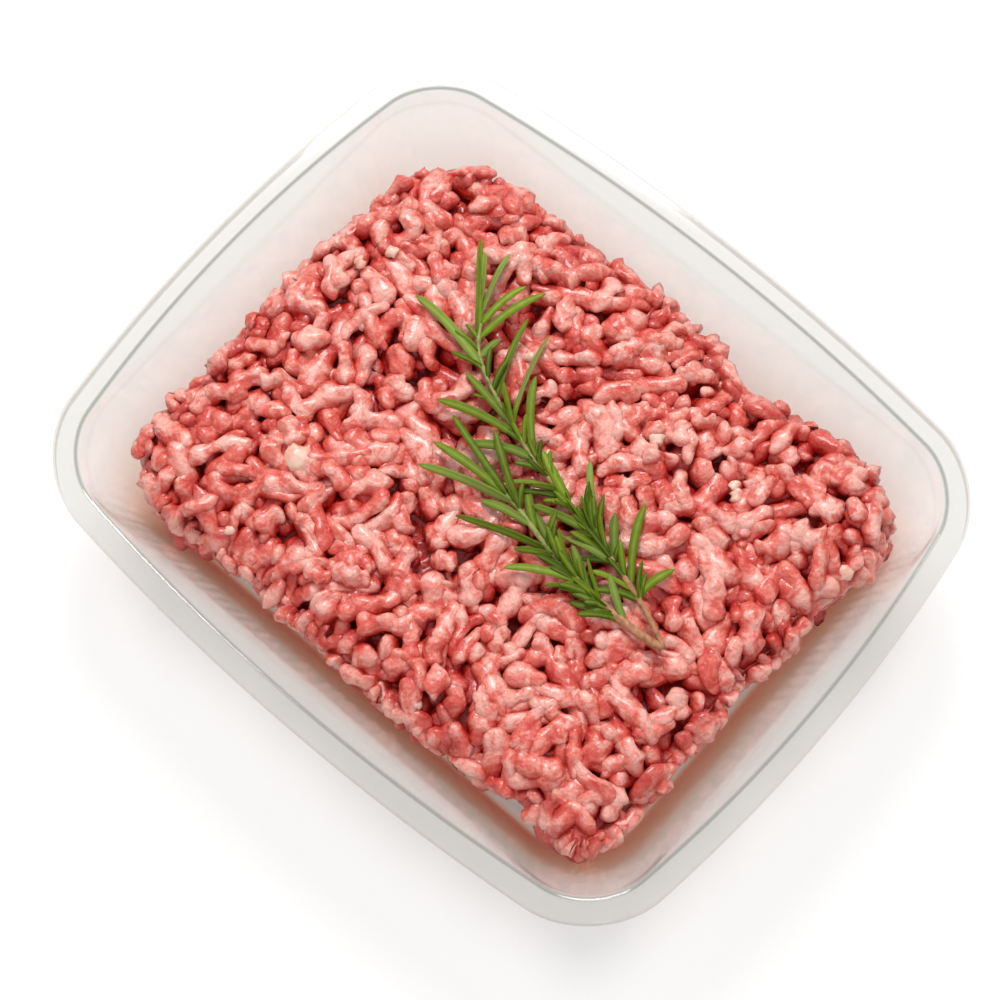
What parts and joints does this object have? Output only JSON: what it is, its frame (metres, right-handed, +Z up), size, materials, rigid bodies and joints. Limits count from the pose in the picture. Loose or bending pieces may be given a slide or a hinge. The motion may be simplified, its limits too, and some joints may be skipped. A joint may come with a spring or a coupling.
{
  "type": "meat tray pack",
  "caption": "Open clear tray with a flat bowed rim, filled with a slab of raw minced meat that carries a sprig of rosemary.",
  "frame": {"origin": "middle of the tray's underside, on the surface that the tray stands on", "axes": "+X along the tray's long side, +Y along its short side, +Z up"},
  "size_m": [0.201, 0.1676, 0.038],
  "materials": {
    "clear_plastic": "clear, colourless, glossy formed sheet",
    "raw_meat": "moist raw minced meat, pink to deep red, with flecks of pale fat",
    "herb_green": "fresh green needles, slightly waxy, on a tan stem"
  },
  "bodies": {
    "root": {"tray": "clear_plastic", "mince": "raw_meat", "rosemary": "herb_green"}
  },
  "joints": []
}
